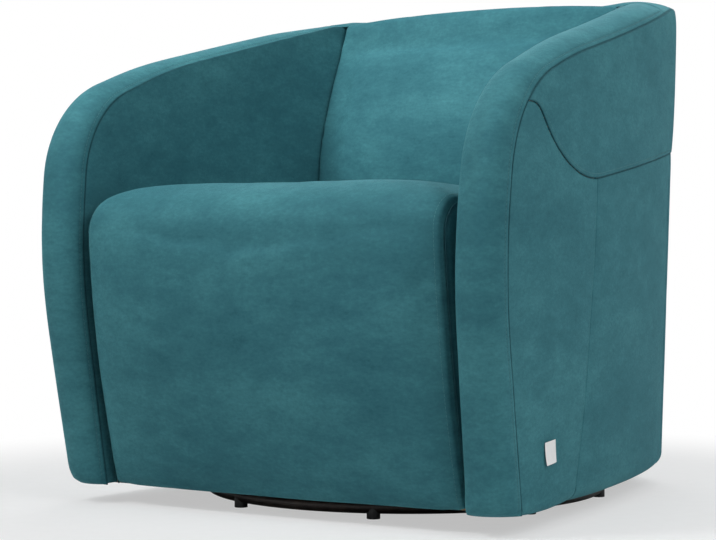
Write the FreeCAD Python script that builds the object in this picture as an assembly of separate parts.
import FreeCAD, Part
import math
import os

# Swivel club chair: a round upholstered tub that turns on a ball-race swivel over a tubular ring base.
# Millimetres. The origin is on the floor under the swivel axis, +Z is up and the seat opens towards -Y.

os.makedirs("parts", exist_ok=True)

# Overall stance
underside_z = 28.5        # lowest face of the upholstered body
rim_z = 753.0             # seam around the top of the back
seat_z = 465.0            # crest of the seat's front roll
seat_back_z = seat_z - 13.0  # top of the seat where it meets the back cushion

# Plan of the barrel wall, taken at the underside
half_width = 372.0
side_straight_y = -325.0  # where the sides run straight fore and aft
side_radius = 2500.0
corner_radius = 125.0
back_radius = 1100.0
back_y = 402.5
wall_flare = 0.0304       # outward lean of the wall per unit of height
underside_round = 22.0

# Thickness of the wall's layers, from the outside in
wall_thickness = 70.0
skin = 4.0                # cloth over fleece
spacer = 27.4             # timber posts and rails
ply = 12.0
glue_gap = 0.3
rim_gap = 1.0             # between the rolled bands and the layers that they sit on

# Rim of the arm, as the seams on its outer and inner side run in side view; heights follow the back's
foot_y_outer = -325.0
foot_y_inner = -347.0
knee_y = -392.0
knee_z = 0.4688 * rim_z
brow_y = -367.0
brow_z = 0.7636 * rim_z
bend_y_outer = -215.0
bend_z_outer = 0.8406 * rim_z
bend_y_inner = -167.0
bend_z_inner = 0.8685 * rim_z
knee_radius = 716.0
brow_radius = 161.0
bend_radius = 900.0
rim_stations = 16

# Rolled band on the rim, and the roll over the back
front_crown = 33.0
top_crown = 15.0
foot_crown = 20.0
back_crown = 9.0          # of the roll over the back
crown_fade_y = 90.0       # from here back, the arm's crown eases into the roll's
back_roll_y = 247.0       # front edge of the roll at the chair's middle
roll_shares = (0.93, 0.84, 0.68, 0.5, 0.25)  # inner ends of the roll's sections, over its half-length
band_strip_depth = 35.0   # depth of the timber below the rim
strip_clear = 3.0         # between the bent timber and the layers beside it

# Seams of the outside panels, in side view
swoosh_front_z = 0.749 * rim_z
swoosh_crest_y = -312.0
swoosh_low_y = -211.5
swoosh_low_z = 0.6089 * rim_z
swoosh_rear_y = 345.0
swoosh_rear_z = 0.7058 * rim_z
swoosh_crest_radius = 40.0
swoosh_low_radius = 230.0
side_seam_top_y = -108.0
side_seam_mid_y = -132.0
side_seam_mid_z = 160.0
side_seam_foot_y = -168.0
side_seam_radius = 400.0

# Seat
seat_half_width = half_width - wall_thickness - 7.0
seat_foot_y = -334.0
seat_front_y = -401.0     # seam at the side of the front face
seat_rear_gap = 1.5       # between the seat and the back cushion's face
seat_side_gap = 3.0
seat_rake_bow = 10.0      # bow of the front face between its foot and the roll
seat_foot_share = 2 / 3   # how much of a section's bulge reaches the foot

# Sections of the seat from its side to its middle: share of the half-width, bulge in front, drop on
# top, radius of the front roll
seat_stations = (
    (1.0, -1.0, 25.0, 46.0),
    (0.955, 7.0, 13.0, 52.0),
    (0.86, 13.0, 6.0, 62.0),
    (0.66, 19.0, 1.5, 70.0),
    (0.3, 23.0, 0.0, 72.0),
)
gusset = 2.5

# Back cushion, by its crease with the arms
crease_low_y = 152.0
crease_top_y = 228.0
crease_low_z = seat_z + 5.0
cushion_crown = 30.0
cushion_edge_radius = 12.0

# Sections of the back cushion: share of the height from the seat crease to the rim, set-back, crown
cushion_profile = (
    (-0.212, 0.0, 0.45),
    (0.0, 0.0, 0.8),
    (0.318, -13.0, 1.0),
    (0.636, -10.0, 1.0),
    (0.848, -3.0, 0.6),
)
cushion_low_share = 0.25

# Timber frame
rail_thickness = 25.0
lower_rail_z = 29.8
lower_rail_top = 100.0
seat_rail_z = 225.0
seat_rail_top = 300.0
front_rail_y = -345.0
lower_front_rail_y = -325.0
rear_rail_y = 286.0
side_rail_front_y = -300.0
sill_height = 50.0
board_half_width = half_width - 172.0
board_thickness = 18.0
corner_block = 60.0
frame_clear = 0.3

# Seat springs and deck
spring_wire = 4.0
spring_count = 5
spring_spacing = 85.0
spring_pitch = 36.0
spring_half_width = 24.0
clip_width = 66.0
clip_wall = 2.2
deck_thickness = 7.0

# Base ring and glides
ring_outer_radius = half_width - 67.0
ring_tube_radius = 9.5
glide_height = 7.0
glide_radius = 9.5
glide_count = 8
glide_start_deg = 22.5
spoke_width = 25.0
spoke_height = 12.0
hub_radius = 55.0
hub_thickness = 6.0

# Swivel
race_radius = 80.0
ball_radius = 4.0
ball_count = 24
ball_clearance = 0.05
groove_depth = 2.0
race_plate = 4.0
lower_plate_radius = 95.0
top_plate_half = 100.0
plate_bolt_offset = 85.0
plate_bolt_radius = 4.0
plate_bolt_head = 5.0
plate_bolt_head_radius = 7.0
king_bolt_radius = 6.0
king_bolt_head = 6.0
king_bolt_head_radius = 10.0
king_nut = 8.0
washer = 1.5
washer_radius = 12.0
running_clearance = 0.08
fixed_clearance = 0.05
king_nut_hole = 20.0
plate_nut = 7.0
bolt_end = 1.0
cage_half_width = 10.0
cage_thickness = 1.3
cage_clearance = 0.3
dust_cover = 1.0
dust_cover_hole = 136.0
dust_cover_inset = 30.0

# Sewn-in care tag, left blank
tag_width = 30.0
tag_height = 34.0
tag_thickness = 0.8
tag_y = -251.0
tag_z = 103.0
tag_tilt_deg = 4.0

# Depths of the wall's layers below its outer face
spacer_outer = skin + glue_gap
spacer_inner = spacer_outer + spacer
ply_outer = spacer_inner + glue_gap
ply_inner = ply_outer + ply
foam_outer = ply_inner + glue_gap
foam_inner = wall_thickness

# Reach of the cutting solids beyond the chair
reach = 150.0
section_reach = rim_z / 3
section_past = 60.0
roll_section_past = 40.0
front_step = 0.1          # how much further forward a deeper layer's front plane lies, per unit of depth
front_limit = -420.0
far = 1000.0


def vec(x, y, z):
    return FreeCAD.Vector(x, y, z)


def line(a, b):
    return Part.LineSegment(a, b).toShape()


def arc(a, through, b):
    return Part.Arc(a, through, b).toShape()


def box(low, high):
    size = [high[i] - low[i] for i in range(3)]
    return Part.makeBox(size[0], size[1], size[2], vec(*low))


def rod(radius, low_z, high_z, x=0.0, y=0.0):
    return Part.makeCylinder(radius, high_z - low_z, vec(x, y, low_z))


def export(name, shape):
    shape.exportStep("parts/" + name + ".step")


def largest(shape):
    return max(shape.Solids, key=lambda solid: solid.Volume)


def mirrored(shape):
    return shape.mirror(vec(0, 0, 0), vec(1, 0, 0))


def export_pair(name, shape):
    export(name + "_right", shape)
    export(name + "_left", mirrored(shape))


# Barrel wall: side, corner and back arcs touch each other, and every layer keeps their centres

side_centre_x = half_width - side_radius
back_centre_y = back_y - back_radius


def corner_centre():
    """Centre of the rear corner arc, inside both the side arc and the back arc."""
    to_side = side_radius - corner_radius
    to_back = back_radius - corner_radius
    dx = -side_centre_x
    dy = back_centre_y - side_straight_y
    apart = math.hypot(dx, dy)
    along = (to_side ** 2 - to_back ** 2 + apart ** 2) / (2 * apart)
    off = math.sqrt(to_side ** 2 - along ** 2)
    x = side_centre_x + (along * dx - off * dy) / apart
    y = side_straight_y + (along * dy + off * dx) / apart
    return x, y


corner_x, corner_y = corner_centre()
corner_start = math.atan2(corner_y - side_straight_y, corner_x - side_centre_x)
corner_end = math.atan2(corner_y - back_centre_y, corner_x)
corner_start_y = corner_y + corner_radius * math.sin(corner_start)


def spread(z, inset):
    """Offset of a layer's outline from the plan at the underside."""
    return wall_flare * (z - underside_z) - inset


def wall_x(y, z, inset):
    """Half-width of the wall's side at a place, at a depth below its outer face."""
    offset = spread(z, inset)
    radius = side_radius + offset
    if y <= side_straight_y:
        return side_centre_x + radius
    return side_centre_x + math.sqrt(radius ** 2 - (y - side_straight_y) ** 2)


def corner_point(angle, z, inset):
    radius = corner_radius + spread(z, inset)
    return vec(corner_x + radius * math.cos(angle), corner_y + radius * math.sin(angle), z)


def back_point(x, z, inset):
    radius = back_radius + spread(z, inset)
    return vec(x, back_centre_y + math.sqrt(radius ** 2 - x ** 2), z)


def front_plane(inset):
    """Place where a barrel ends in front, different for each depth."""
    return front_limit - front_step * inset


def plan_wire(z, inset):
    """Closed outline of the barrel at one height, straight across the front."""
    side_front = vec(wall_x(front_limit, z, inset), front_plane(inset), z)
    side_tangent = vec(wall_x(side_straight_y, z, inset), side_straight_y, z)
    side_mid_y = (side_straight_y + corner_y) / 2
    side_mid = vec(wall_x(side_mid_y, z, inset), side_mid_y, z)
    corner_a = corner_point(corner_start, z, inset)
    corner_m = corner_point((corner_start + corner_end) / 2, z, inset)
    corner_b = corner_point(corner_end, z, inset)
    middle = back_point(0.0, z, inset)
    half = [side_front, side_tangent, side_mid, corner_a, corner_m, corner_b]
    other = [vec(-p.x, p.y, p.z) for p in half]
    edges = [
        line(half[0], half[1]),
        arc(half[1], half[2], half[3]),
        arc(half[3], half[4], half[5]),
        arc(half[5], middle, other[5]),
        arc(other[5], other[4], other[3]),
        arc(other[3], other[2], other[1]),
        line(other[1], other[0]),
        line(other[0], half[0]),
    ]
    return Part.Wire(edges)


def barrel(inset, low_z, high_z, rounding=0.0):
    """Flared solid inside the wall's outline, with its lower edge rounded where asked."""
    solid = Part.makeLoft([plan_wire(low_z, inset), plan_wire(high_z, inset)], True, True)
    if rounding > 0:
        behind = front_plane(inset) + glue_gap
        bounds = [(edge, edge.BoundBox) for edge in solid.Edges]
        lower = [edge for edge, b in bounds if b.ZMax < low_z + glue_gap and b.YMax > behind]
        solid = solid.makeFillet(rounding, lower)
    return solid


def rounded_barrel(inset, high_z):
    """Barrel at a depth inside the outer face, with the rounded lower edge that it has there."""
    if inset < underside_round:
        return barrel(inset, underside_z + inset, high_z, underside_round - inset)
    return barrel(inset, lower_rail_z, high_z)


def layer(outer, inner):
    """Wall layer between two depths, open at the front and reaching above the rim."""
    high_z = rim_z + top_crown
    shell = rounded_barrel(outer, high_z)
    if inner >= underside_round:
        return shell.cut(barrel(inner, -reach, high_z + reach))
    shell = shell.cut(rounded_barrel(inner, high_z + reach))
    return shell.cut(barrel(underside_round + skin, -reach, high_z + reach))


# Rim of the arm in side view, and the sections that ride on it

def rounded_path(points, radii):
    """Open path through (y, z) points at x = 0, with each inner corner rounded."""
    edges = []
    start = vec(0, *points[0])
    for i, radius in enumerate(radii):
        before, corner, after = (vec(0, *points[i + k]) for k in range(3))
        back = (before - corner).normalize()
        ahead = (after - corner).normalize()
        half_turn = (math.pi - back.getAngle(ahead)) / 2
        tangent = radius * math.tan(half_turn)
        bisector = (back + ahead).normalize()
        first = corner + back * tangent
        last = corner + ahead * tangent
        middle = corner + bisector * (radius / math.cos(half_turn) - radius)
        edges.append(line(start, first))
        edges.append(arc(first, middle, last))
        start = last
    edges.append(line(start, vec(0, *points[-1])))
    return Part.Wire(edges)


slope_outer = (rim_z - bend_z_outer) / (corner_start_y - bend_y_outer)
rim_end_z = bend_z_outer + slope_outer * (crease_top_y - bend_y_outer)
rim_radii = [knee_radius, brow_radius, bend_radius]
rim_outer = rounded_path(
    [
        (foot_y_outer, underside_z),
        (knee_y, knee_z),
        (brow_y, brow_z),
        (bend_y_outer, bend_z_outer),
        (crease_top_y, rim_end_z),
    ],
    rim_radii,
)
rim_inner = rounded_path(
    [
        (foot_y_inner, underside_z),
        (knee_y, knee_z),
        (brow_y, brow_z),
        (bend_y_inner, bend_z_inner),
        (crease_top_y, rim_z),
    ],
    rim_radii,
)


def rim_frames():
    """Outer point, inner point and outward direction at each station of the right arm's rim."""
    outers = [vec(wall_x(p.y, p.z, 0.0), p.y, p.z) for p in rim_outer.discretize(rim_stations)]
    inners = [
        vec(wall_x(p.y, p.z, wall_thickness), p.y, p.z) for p in rim_inner.discretize(rim_stations)
    ]
    middles = [(a + b) * 0.5 for a, b in zip(outers, inners)]
    frames = []
    for i, (a, b) in enumerate(zip(outers, inners)):
        ahead = middles[min(i + 1, rim_stations - 1)] - middles[max(i - 1, 0)]
        out = ahead.cross(b - a).normalize()
        if i == 0:
            out = vec(0, -1, 0)
        if i == rim_stations - 1:
            out = vec(0, 0, 1)
        frames.append((a, b, out))
    return frames


def band_crown(i, a, out):
    """Height of the band's crown above its seams: full in front, flatter on top, low at the back."""
    if i == 0:
        return foot_crown
    fade = min(max((a.y - crown_fade_y) / (crease_top_y - crown_fade_y), 0.0), 1.0)
    top = top_crown + (back_crown - top_crown) * fade
    return top + (front_crown - top) * out.y ** 2


def arm_band():
    """Rolled band on the rim of the right arm, a D in section."""
    wires = []
    for i, (a, b, out) in enumerate(rim_frames()):
        middle = (a + b) * 0.5 + out * band_crown(i, a, out)
        wires.append(Part.Wire([arc(a, middle, b), line(b, a)]))
    return Part.makeLoft(wires, True, False)


def slab_wire(a, b, out, below, past):
    """Four-sided section that stands on a chord, reaching past its ends and far outwards."""
    along = (b - a).normalize() * past
    foot = out * -below
    rise = out * section_reach
    corners = [a - along + foot, b + along + foot, b + along + rise, a - along + rise]
    return Part.Wire([line(corners[i], corners[(i + 1) % 4]) for i in range(4)])


def above_arm_rim(below):
    """Space over the right arm's rim, down to a depth below the seams."""
    frames = rim_frames()
    first = frames[0]
    drop = vec(0, 0, -reach)
    wires = [slab_wire(first[0] + drop, first[1] + drop, first[2], below, section_past)]
    wires += [slab_wire(a, b, out, below, section_past) for a, b, out in frames]
    before, last = frames[-2], frames[-1]
    ends = [last[side] + last[side] - before[side] for side in (0, 1)]
    wires.append(slab_wire(ends[0], ends[1], last[2], below, section_past))
    body = Part.makeLoft(wires[1:], True, False)
    foot = Part.makeLoft(wires[:2], True, True)
    return [body, foot]


def roll_frames():
    """Outer and inner ends of the back roll's sections, from the right arm to the left one."""
    end_outer = vec(wall_x(crease_top_y, rim_end_z, 0.0), crease_top_y, rim_end_z)
    end_inner = vec(wall_x(crease_top_y, rim_z, wall_thickness), crease_top_y, rim_z)
    side_y = (crease_top_y + corner_start_y) / 2
    side_z = (rim_end_z + rim_z) / 2
    inner_x = end_inner.x
    rise = back_roll_y - crease_top_y
    middle_angle = (corner_start + corner_end) / 2

    def inner(share):
        return vec(inner_x * share, back_roll_y - rise * share ** 2, rim_z)

    outer = [
        vec(wall_x(side_y, side_z, 0.0), side_y, side_z),
        corner_point(corner_start, rim_z, 0.0),
        corner_point(middle_angle, rim_z, 0.0),
        corner_point(corner_end, rim_z, 0.0),
        back_point(corner_x / 2, rim_z, 0.0),
    ]
    pairs = [(end_outer, end_inner)]
    pairs += [(place, inner(share)) for place, share in zip(outer, roll_shares)]
    left = [(vec(-a.x, a.y, a.z), vec(-b.x, b.y, b.z)) for a, b in reversed(pairs)]
    middle = [(back_point(0.0, rim_z, 0.0), inner(0.0))]
    return pairs + middle + left


def back_roll():
    """Padded roll over the top of the back, from arm to arm."""
    wires = []
    for a, b in roll_frames():
        middle = (a + b) * 0.5 + vec(0, 0, back_crown)
        wires.append(Part.Wire([arc(a, middle, b), line(b, a)]))
    return Part.makeLoft(wires, True, False)


def above_back_rim(below):
    """Space over the rim behind the arms' ends, down to a depth below the seams."""
    up = vec(0, 0, 1)
    wires = [slab_wire(a, b, up, below, roll_section_past) for a, b in roll_frames()]
    return Part.makeLoft(wires, True, False)


def above_rim(below):
    """Every solid that trims a wall layer at the rim."""
    right = above_arm_rim(below)
    return right + [mirrored(tool) for tool in right] + [above_back_rim(below)]


def trimmed(shape, tools):
    for tool in tools:
        shape = shape.cut(tool)
    return shape


rim_cut = above_rim(rim_gap)
wall_high = (far, far, far)
behind_corner = box((-far, corner_start_y, -far), wall_high)
right_side = box((0, -far, -far), wall_high)
ahead_of_corner = box((0, -far, -far), (far, corner_start_y, far))


# Cloth panels on the outside

def side_prism(path, closing):
    """Solid across the whole chair whose outline in side view is a path and closing points."""
    ends = [v.Point for v in (path.OrderedVertexes[0], path.OrderedVertexes[-1])]
    corners = [ends[1]] + [vec(0, y, z) for y, z in closing] + [ends[0]]
    edges = list(path.OrderedEdges)
    edges += [line(corners[i], corners[i + 1]) for i in range(len(corners) - 1)]
    face = Part.Face(Part.Wire(edges))
    face.translate(vec(-far, 0, 0))
    return face.extrude(vec(2 * far, 0, 0))


swoosh = rounded_path(
    [
        (front_limit, swoosh_front_z),
        (swoosh_crest_y, swoosh_front_z),
        (swoosh_low_y, swoosh_low_z),
        (swoosh_rear_y, swoosh_rear_z),
        (far, swoosh_rear_z),
    ],
    [swoosh_crest_radius, swoosh_low_radius, side_seam_radius],
)
below_swoosh = side_prism(swoosh, [(far, -far), (front_limit, -far)])
side_seam = rounded_path(
    [(side_seam_top_y, far), (side_seam_top_y, rim_z / 2), (side_seam_mid_y, side_seam_mid_z),
     (side_seam_foot_y, 0.0)],
    [side_seam_radius, side_seam_radius],
)
ahead_of_seam = side_prism(side_seam, [(front_limit, 0.0), (front_limit, far)])

cloth = trimmed(layer(0.0, skin), rim_cut)
lower_cloth = cloth.common(below_swoosh)
export("yoke_panel", cloth.cut(below_swoosh))
export_pair("outer_front_panel", lower_cloth.common(ahead_of_seam).common(right_side))
export_pair("outer_rear_panel", lower_cloth.cut(ahead_of_seam).common(ahead_of_corner))
export("outer_back_panel", lower_cloth.common(behind_corner))

# Rolled bands and the roll over the back

export_pair("arm_band", arm_band())
export("back_roll", back_roll())

# Timber and plywood inside the wall

timber = trimmed(layer(spacer_outer, spacer_inner), rim_cut)
sill_top = underside_z + skin + sill_height


def rim_timber():
    """Bent laminated strip that follows the rim of the right arm under its rolled band."""
    wires = []
    for a, b, out in rim_frames():
        near = a + (b - a) * ((spacer_outer + strip_clear) / wall_thickness)
        deep = a + (b - a) * ((spacer_inner - strip_clear) / wall_thickness)
        inward = vec(0, -out.y, -out.z).normalize()
        top, foot = inward * rim_gap, inward * band_strip_depth
        corners = [near + foot, deep + foot, deep + top, near + top]
        wires.append(Part.Wire([line(corners[i], corners[(i + 1) % 4]) for i in range(4)]))
    return Part.makeLoft(wires, True, True)


strip = rim_timber()
post_low = (0, -far, underside_z + underside_round + skin)
post_high = (far, far, brow_z - 2 * band_strip_depth)
export_pair("arm_post", strip.common(box(post_low, post_high)))
export_pair("arm_top_rail", strip.common(box((0, -far, post_high[2] + glue_gap), wall_high)))
sill_zone = box((0, foot_y_outer + band_strip_depth + glue_gap, -far), (far, corner_start_y, sill_top))
export_pair("arm_sill", timber.common(sill_zone))
post_front_y = corner_start_y - band_strip_depth
rear_zone = box((0, post_front_y, sill_top + glue_gap), (far, corner_start_y, far))
export_pair("rear_post", timber.common(rear_zone))
back_timber = timber.common(box((-far, corner_start_y + glue_gap, -far), wall_high))
top_rail_z = rim_z - band_strip_depth
export("back_top_rail", back_timber.common(box((-far, -far, top_rail_z), wall_high)))
export("back_sill", back_timber.common(box((-far, -far, -far), (far, far, sill_top))))

plywood = trimmed(layer(ply_outer, ply_inner), rim_cut)
export_pair("arm_ply", plywood.common(ahead_of_corner))
export("back_ply", plywood.common(box((-far, corner_start_y + glue_gap, -far), wall_high)))

# Padding on the inside of the wall, and the seat box that stands in its lower part

deck_z = seat_rail_top + spring_wire + 2 * glue_gap + clip_wall
deck_top = deck_z + deck_thickness
seat_base = deck_top + glue_gap

foam_full = layer(foam_outer, foam_inner)
foam = trimmed(foam_full, rim_cut)
side_rail_end_y = rear_rail_y + rail_thickness
box_zone = box((-far, side_rail_front_y, -far), (far, far, seat_base))
upper_foam = foam.cut(box_zone)
export_pair("inner_arm_pad", upper_foam.common(ahead_of_corner))
export("back_pad", upper_foam.common(box((-far, corner_start_y + glue_gap, -far), wall_high)))


def side_rail(low_z, high_z):
    low = (0, side_rail_front_y + glue_gap, low_z)
    return foam_full.common(box(low, (far, side_rail_end_y, high_z)))


export_pair("seat_rail_side", side_rail(seat_rail_z, seat_rail_top))
export_pair("bottom_rail_side", side_rail(lower_rail_z, lower_rail_top))

inside_wall = barrel(wall_thickness + frame_clear, -reach, rim_z + reach)


def cross_rail(front_y, low_z, high_z):
    return inside_wall.common(box((-far, front_y, low_z), (far, front_y + rail_thickness, high_z)))


export("seat_rail_front", cross_rail(front_rail_y, seat_rail_z, seat_rail_top))
export("seat_rail_back", cross_rail(rear_rail_y, seat_rail_z, seat_rail_top))
export("bottom_rail_front", cross_rail(lower_front_rail_y, lower_rail_z, lower_rail_top))
export("bottom_rail_back", cross_rail(rear_rail_y, lower_rail_z, lower_rail_top))


def block(front, side):
    """Three-cornered block glued in a corner of the seat box."""
    y = front_rail_y + rail_thickness if front else rear_rail_y
    step = corner_block if front else -corner_block
    x = wall_x(y, seat_rail_z, wall_thickness + frame_clear)
    if not front:
        x = corner_point(corner_start, seat_rail_z, wall_thickness + frame_clear).x
    tip_y = y + step + step * reach / corner_block
    points = [vec(x + reach, y, 0), vec(x - corner_block, y, 0), vec(x + reach, tip_y, 0)]
    face = Part.Face(Part.Wire([line(points[i], points[(i + 1) % 3]) for i in range(3)]))
    face.translate(vec(0, 0, seat_rail_z))
    solid = face.extrude(vec(0, 0, seat_rail_top - seat_rail_z - 2 * rail_thickness))
    solid = solid.common(inside_wall)
    return solid if side > 0 else mirrored(solid)


export("corner_blocks", Part.Compound([block(f, s) for f in (True, False) for s in (1, -1)]))

# Sinuous springs, their clips and the deck felt

spring_z = seat_rail_top + spring_wire / 2
spring_front_y = front_rail_y + rail_thickness / 2
spring_back_y = rear_rail_y + rail_thickness / 2


def spring(x):
    """Flat zigzag of round wire from the front rail to the back rail."""
    length = spring_back_y - spring_front_y
    turns = int(length / spring_pitch) // 2 * 2
    pitch = length / turns
    radius = pitch / 2
    side = spring_half_width - radius
    edges = []
    for i in range(turns):
        y = spring_front_y + i * pitch
        turn = vec(x + side, y, spring_z)
        middle = vec(x + side + math.copysign(radius, side), y + radius, spring_z)
        edges.append(line(vec(x - side, y, spring_z), turn))
        edges.append(arc(turn, middle, vec(x + side, y + pitch, spring_z)))
        side = -side
    edges.append(line(vec(x - side, spring_back_y, spring_z), vec(x + side, spring_back_y, spring_z)))
    path = Part.Wire(edges)
    ring = Part.makeCircle(spring_wire / 2, edges[0].Vertexes[0].Point, vec(1, 0, 0))
    return path.makePipeShell([Part.Wire([ring])], True, False)


def clip(x, y):
    """Bridge over the end wire of a spring."""
    half = clip_width / 2
    tunnel_x = half - clip_wall
    top = seat_rail_top + spring_wire + glue_gap + clip_wall
    bridge = box((x - half, y - rail_thickness / 2, seat_rail_top), (x + half, y + rail_thickness / 2, top))
    return bridge.cut(box((x - tunnel_x, -far, -far), (x + tunnel_x, far, top - clip_wall)))


spring_xs = [(i - (spring_count - 1) / 2) * spring_spacing for i in range(spring_count)]
export("seat_springs", Part.Compound([spring(x) for x in spring_xs]))
clips = [clip(x, y) for x in spring_xs for y in (spring_front_y, spring_back_y)]
export("spring_clips", Part.Compound(clips))

deck_low = (-far, front_rail_y, deck_z)
deck_high = (far, rear_rail_y + rail_thickness, deck_top)
export("deck_felt", inside_wall.common(box(deck_low, deck_high)))

# Seat cushion: one thick pad whose front rolls down to the floor line


def seat_edges(x, bulge, drop, radius):
    """Closed side outline of the seat at one distance from the middle, as an L."""
    foot_bulge = bulge * seat_foot_share
    foot_y = seat_foot_y - foot_bulge
    front_y = seat_front_y - bulge
    top_z = seat_z - drop
    roll = radius * math.cos(math.pi / 4)
    knee_low = vec(x, front_y, top_z - radius)
    knee_mid = vec(x, front_y + radius - roll, top_z - radius + roll)
    knee_high = vec(x, front_y + radius, top_z)
    foot = vec(x, foot_y, underside_z)
    rake_y = (foot_y + front_y) / 2 - foot_bulge - seat_rake_bow
    rake_mid = vec(x, rake_y, (underside_z + top_z - radius) / 2)
    apron_top_y = front_rail_y - frame_clear
    apron_foot_y = lower_front_rail_y - frame_clear
    face_rise = cushion_crown * (1 - (x / wall_x(crease_low_y, seat_z, wall_thickness)) ** 2)
    rear_y = crease_low_y - face_rise - seat_rear_gap
    rear_top = vec(x, rear_y, seat_back_z - drop)
    rear_low = vec(x, rear_y, seat_base)
    apron_top = vec(x, apron_top_y, seat_base)
    apron_low = vec(x, apron_foot_y, underside_z)
    apron_mid = vec(x, apron_top_y, seat_rail_z)
    return [
        arc(foot, rake_mid, knee_low),
        arc(knee_low, knee_mid, knee_high),
        line(knee_high, rear_top),
        line(rear_top, rear_low),
        line(rear_low, apron_top),
        line(apron_top, apron_mid),
        line(apron_mid, apron_low),
        line(apron_low, foot),
    ]


seat_half = [(share * seat_half_width, *shape) for share, *shape in seat_stations]
seat_all = [(-x, *shape) for x, *shape in seat_half] + seat_half[::-1]
seat_loft = Part.makeLoft([Part.Wire(seat_edges(*s)) for s in seat_all], True, False)
beside_seat = barrel(wall_thickness + seat_side_gap, -reach, rim_z + reach)
export("seat_cushion", seat_loft.common(beside_seat))

end_face = Part.Face(Part.Wire(seat_edges(*seat_half[0])))
end_face.translate(vec(glue_gap, 0, 0))
side_gusset = end_face.extrude(vec(gusset, 0, 0)).common(beside_seat)
export_pair("seat_gusset", side_gusset)

# Back cushion: crowned between the arms, leaning back to the roll

crease_rise = rim_z - crease_low_z
lean = (crease_top_y - crease_low_y) / crease_rise


def cushion_wire(z, ease, share):
    """Outline at one height: rounded edges at the arms and a crowned face between."""
    crease_y = crease_low_y + max(z - crease_low_z, 0.0) * lean + ease
    half = wall_x(crease_y, z, wall_thickness + frame_clear)
    radius = cushion_edge_radius
    diagonal = radius * (1 - math.cos(math.pi / 4))
    rear_y = back_y + reach
    side = [
        vec(half, rear_y, z),
        vec(half, crease_y + radius, z),
        vec(half - diagonal, crease_y + diagonal, z),
        vec(half - radius, crease_y, z),
    ]
    other = [vec(-p.x, p.y, p.z) for p in side]
    middle = vec(0, crease_y - share * cushion_crown, z)
    return Part.Wire([
        line(side[0], side[1]),
        arc(side[1], side[2], side[3]),
        arc(side[3], middle, other[3]),
        arc(other[3], other[2], other[1]),
        line(other[1], other[0]),
        line(other[0], side[0]),
    ])


cushion_levels = [(seat_base, 0.0, cushion_low_share)]
cushion_levels += [(crease_low_z + up * crease_rise, ease, crown) for up, ease, crown in cushion_profile]
cushion_levels.append((rim_z + rim_gap, 0.0, (crease_top_y - back_roll_y) / cushion_crown))
cushion = Part.makeLoft([cushion_wire(*level) for level in cushion_levels], True, False)
cushion_top = rim_z - 2 * rim_gap
export("back_cushion", cushion.common(inside_wall).cut(box((-far, -far, cushion_top), wall_high)))

# Care tag on the outside of the right front panel

tag_x = wall_x(tag_y, tag_z, -glue_gap)
tag = box((0, -tag_width / 2, -tag_height / 2), (tag_thickness, tag_width / 2, tag_height / 2))
tag.rotate(vec(0, 0, 0), vec(1, 0, 0), tag_tilt_deg)
tag.rotate(vec(0, 0, 0), vec(0, 1, 0), math.degrees(math.atan(wall_flare)))
tag.rotate(vec(0, 0, 0), vec(0, 0, 1), math.degrees(math.asin((tag_y - side_straight_y) / side_radius)))
tag.translate(vec(tag_x, tag_y, tag_z))
export("care_tag", tag)

# Base ring on its glides

ring_radius = ring_outer_radius - ring_tube_radius
ring_z = glide_height + ring_tube_radius
ring = Part.makeTorus(ring_radius, ring_tube_radius, vec(0, 0, ring_z))
export("base_ring", ring)


def glide(i):
    angle = math.radians(glide_start_deg + i * 360.0 / glide_count)
    foot = rod(glide_radius, 0, ring_z, ring_radius * math.cos(angle), ring_radius * math.sin(angle))
    lower = [e for e in foot.Edges if e.BoundBox.ZMax < glue_gap]
    return foot.makeChamfer(glide_radius / 10, lower).cut(ring)


export("glides", Part.Compound([largest(glide(i)) for i in range(glide_count)]))

# Swivel stack, from the hub up

spoke_z = ring_z - spoke_height / 2
hub_z = ring_z + spoke_height / 2 - hub_thickness
lower_plate_z = hub_z + hub_thickness
ball_z = lower_plate_z + race_plate - groove_depth + ball_radius + ball_clearance
top_plate_z = ball_z + ball_radius + ball_clearance - groove_depth
board_z = top_plate_z + race_plate
groove = Part.makeTorus(race_radius, ball_radius + ball_clearance, vec(0, 0, ball_z))
whole_core = rod(king_bolt_radius + fixed_clearance, -far, far)


def spoke(i):
    """Flat bar from the hub to the ring's inner face."""
    half = spoke_width / 2
    bar = box((0, -half, spoke_z), (ring_radius, half, spoke_z + spoke_height))
    bar = bar.cut(rod(hub_radius, -far, far)).cut(ring)
    bar = largest(bar)
    bar.rotate(vec(0, 0, 0), vec(0, 0, 1), i * 90.0)
    return bar


for i, place in enumerate(("right", "back", "left", "front")):
    export("base_spoke_" + place, spoke(i))
export("hub", rod(hub_radius, hub_z, lower_plate_z).cut(whole_core))
lower_plate = rod(lower_plate_radius, lower_plate_z, lower_plate_z + race_plate)
export("lower_race_plate", lower_plate.cut(groove).cut(whole_core))

# Ball cage and balls

cage_z = ball_z - cage_thickness / 2
cage = rod(race_radius + cage_half_width, cage_z, cage_z + cage_thickness)
cage = cage.cut(rod(race_radius - cage_half_width, -far, far))
balls = []
for i in range(ball_count):
    angle = 2 * math.pi * i / ball_count
    x, y = race_radius * math.cos(angle), race_radius * math.sin(angle)
    cage = cage.cut(rod(ball_radius + cage_clearance, -far, far, x, y))
    balls.append(Part.makeSphere(ball_radius, vec(x, y, ball_z)))
export("ball_cage", cage)
export("bearing_balls", Part.Compound(balls))

# Upper race plate, bolted under the mounting board


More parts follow.
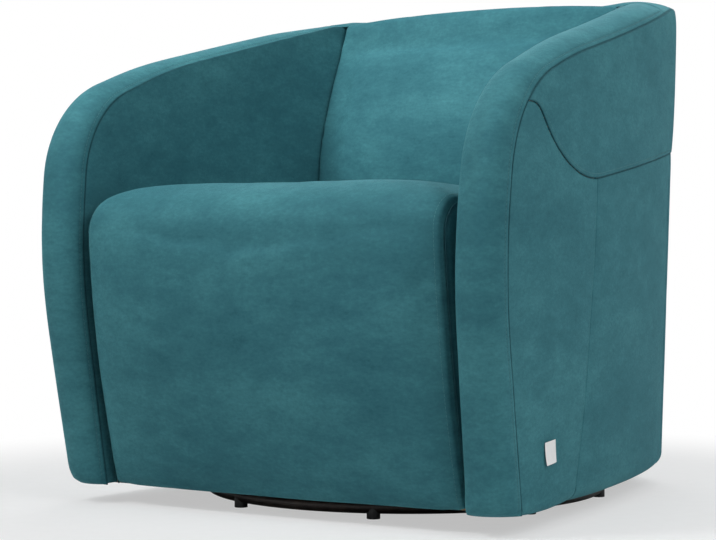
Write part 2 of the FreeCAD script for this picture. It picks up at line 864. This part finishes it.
def hexagon(radius, low_z, high_z, x=0.0, y=0.0):
    corners = []
    for i in range(6):
        angle = i * math.pi / 3
        corners.append(vec(x + radius * math.cos(angle), y + radius * math.sin(angle), low_z))
    face = Part.Face(Part.Wire([line(corners[i], corners[(i + 1) % 6]) for i in range(6)]))
    return face.extrude(vec(0, 0, high_z - low_z))


bolt_places = [(sx * plate_bolt_offset, sy * plate_bolt_offset) for sx in (1, -1) for sy in (1, -1)]
top_plate = box(
    (-top_plate_half, -top_plate_half, top_plate_z), (top_plate_half, top_plate_half, board_z)
)
top_plate = top_plate.cut(groove).cut(rod(king_bolt_radius + running_clearance, -far, far))
board_top = board_z + board_thickness
board = box(
    (-board_half_width, lower_front_rail_y + rail_thickness, board_z),
    (board_half_width, rear_rail_y, board_top),
)
board = board.cut(rod(king_nut_hole, -far, far))
bolts = []
nuts = []
for x, y in bolt_places:
    hole = rod(plate_bolt_radius + fixed_clearance, -far, far, x, y)
    top_plate = top_plate.cut(hole)
    board = board.cut(hole)
    shank = rod(plate_bolt_radius, top_plate_z, board_top + plate_nut + bolt_end, x, y)
    head = rod(plate_bolt_head_radius, top_plate_z - plate_bolt_head, top_plate_z, x, y)
    bolts.append(shank.fuse(head).removeSplitter())
    nuts.append(hexagon(plate_bolt_head_radius, board_top, board_top + plate_nut, x, y).cut(hole))
export("upper_race_plate", top_plate)
export("mounting_board", board)
export("plate_bolts", Part.Compound(bolts))
export("plate_nuts", Part.Compound(nuts))

# King bolt through both plates, fixed to the hub

nut_z = board_z + cage_clearance + washer
king_bolt = rod(king_bolt_radius, hub_z, nut_z + king_nut + bolt_end)
king_bolt = king_bolt.fuse(hexagon(king_bolt_head_radius, hub_z - king_bolt_head, hub_z)).removeSplitter()
export("king_bolt", king_bolt)
king_nut_stack = hexagon(king_bolt_head_radius, nut_z, nut_z + king_nut)
king_washer = rod(washer_radius, board_z + cage_clearance, nut_z)
export("king_nut", king_nut_stack.fuse(king_washer).removeSplitter().cut(whole_core))

# Cloth dust cover under the frame

cover_z = lower_rail_z - glue_gap - dust_cover
cover = barrel(dust_cover_inset, cover_z, cover_z + dust_cover)
cover = cover.cut(box((-far, -far, -far), (far, lower_front_rail_y, far)))
export("dust_cover", cover.cut(rod(dust_cover_hole, -far, far)))
